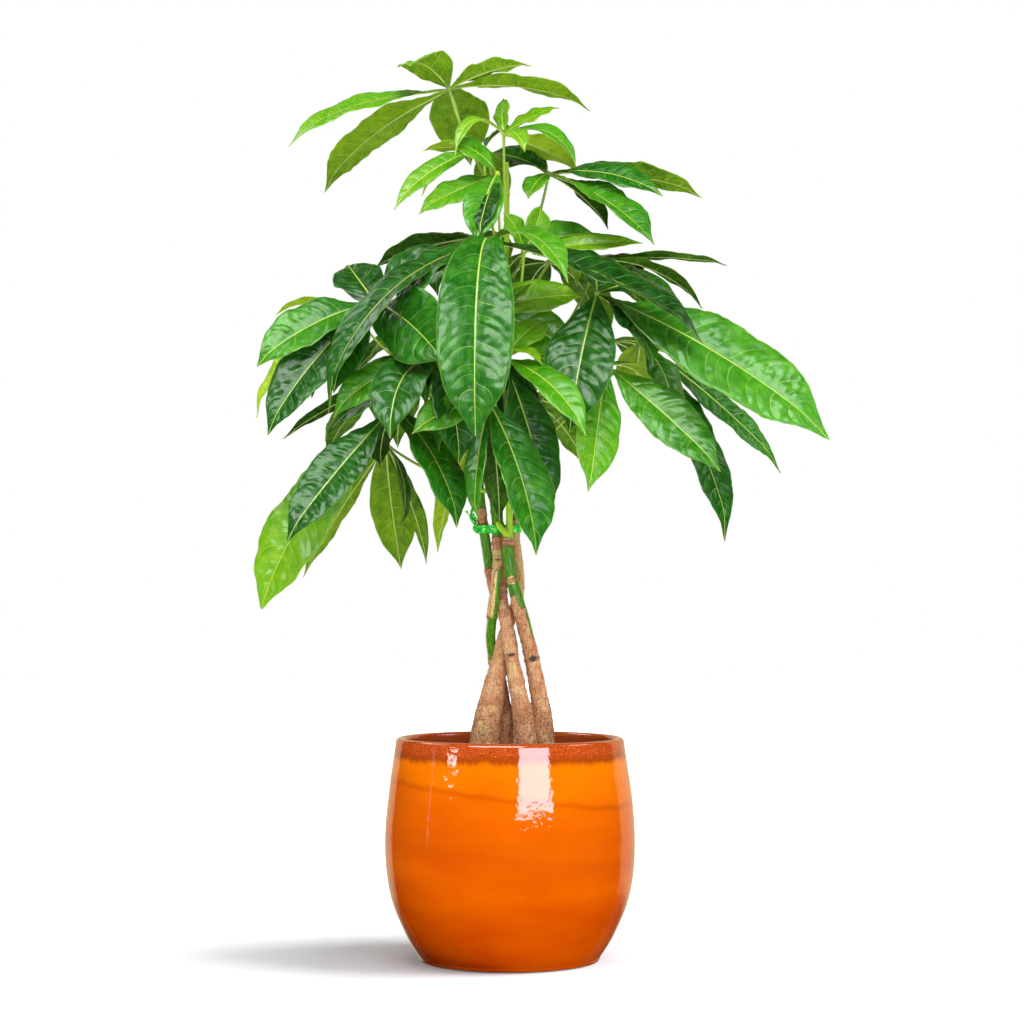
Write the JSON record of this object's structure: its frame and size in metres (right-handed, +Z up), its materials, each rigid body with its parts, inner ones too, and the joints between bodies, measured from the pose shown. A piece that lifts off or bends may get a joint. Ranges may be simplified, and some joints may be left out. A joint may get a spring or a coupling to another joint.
{
  "type": "potted money tree",
  "caption": "Money tree of twisted slim trunks tied near the top, with hand-shaped glossy leaves on long stalks, in a round glazed orange pot.",
  "frame": {"origin": "centre of the pot's flat underside", "axes": "+Z up along the pot's axis, -Y towards the viewer of the picture, +X to the right"},
  "size_m": [0.4564, 0.3304, 0.7219],
  "materials": {
    "glaze": "gloss",
    "soil": "matte",
    "bark": "matte",
    "tie": "gloss",
    "leaf": "satin",
    "young_leaf": "satin"
  },
  "bodies": {
    "root": {"pot": "glaze", "soil": "soil", "trunk_1": "bark", "trunk_2": "bark", "trunk_3": "bark", "trunk_4": "bark", "trunk_5": "bark", "tie": "tie", "leaf_01": "leaf", "leaf_02": "young_leaf", "leaf_03": "leaf", "leaf_04": "young_leaf", "leaf_05": "leaf", "leaf_06": "leaf", "leaf_07": "young_leaf", "leaf_08": "leaf", "leaf_09": "young_leaf", "leaf_10": "leaf", "leaf_11": "leaf", "leaf_12": "leaf", "leaf_13": "leaf", "leaf_14": "leaf", "leaf_15": "young_leaf", "leaf_16": "leaf", "leaf_17": "young_leaf", "leaf_18": "young_leaf", "leaf_19": "leaf", "leaf_20": "young_leaf", "leaf_21": "leaf", "leaf_22": "leaf", "leaf_23": "leaf", "leaf_24": "leaf", "leaf_25": "leaf"}
  },
  "joints": []
}
